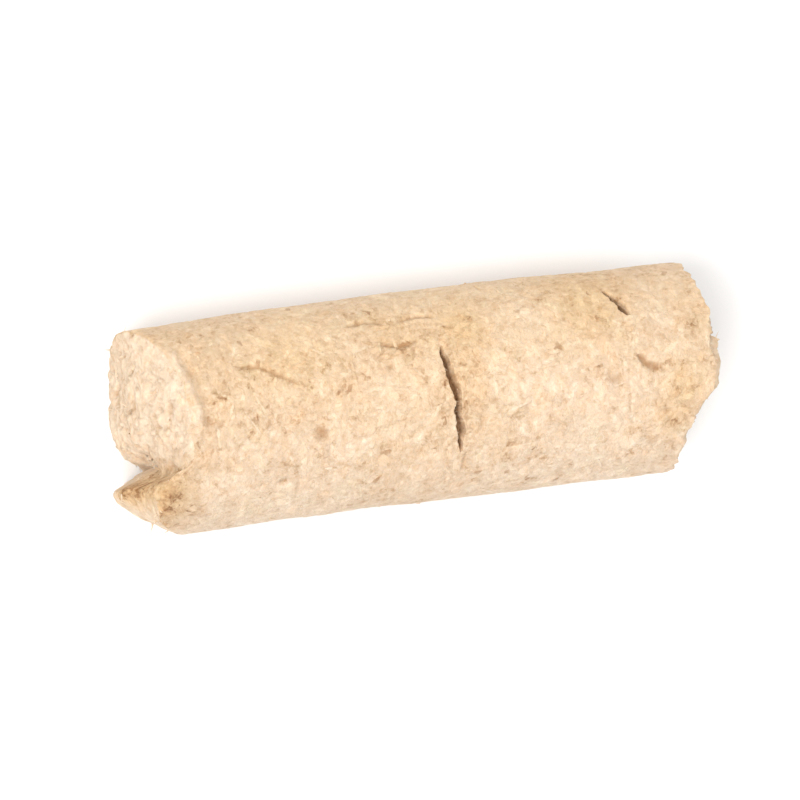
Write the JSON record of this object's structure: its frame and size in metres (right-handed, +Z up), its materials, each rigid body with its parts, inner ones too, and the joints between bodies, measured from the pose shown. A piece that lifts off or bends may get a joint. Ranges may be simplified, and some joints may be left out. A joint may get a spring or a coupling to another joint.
{
  "type": "wood pellet",
  "caption": "Short round rod of pressed sawdust, snapped at its ends and cracked across, as poured for pet litter or pellet fuel.",
  "frame": {"origin": "on the floor under the middle of the pellet's length", "axes": "+X along the pellet from its snapped end to its ragged end, +Y across it, +Z up from the floor it lies on"},
  "size_m": [0.0174, 0.006, 0.0059],
  "materials": {
    "pressed_wood": "bare pressed sawdust, matt with a faint die polish along the barrel"
  },
  "bodies": {
    "root": {"pellet": "pressed_wood"}
  },
  "joints": []
}
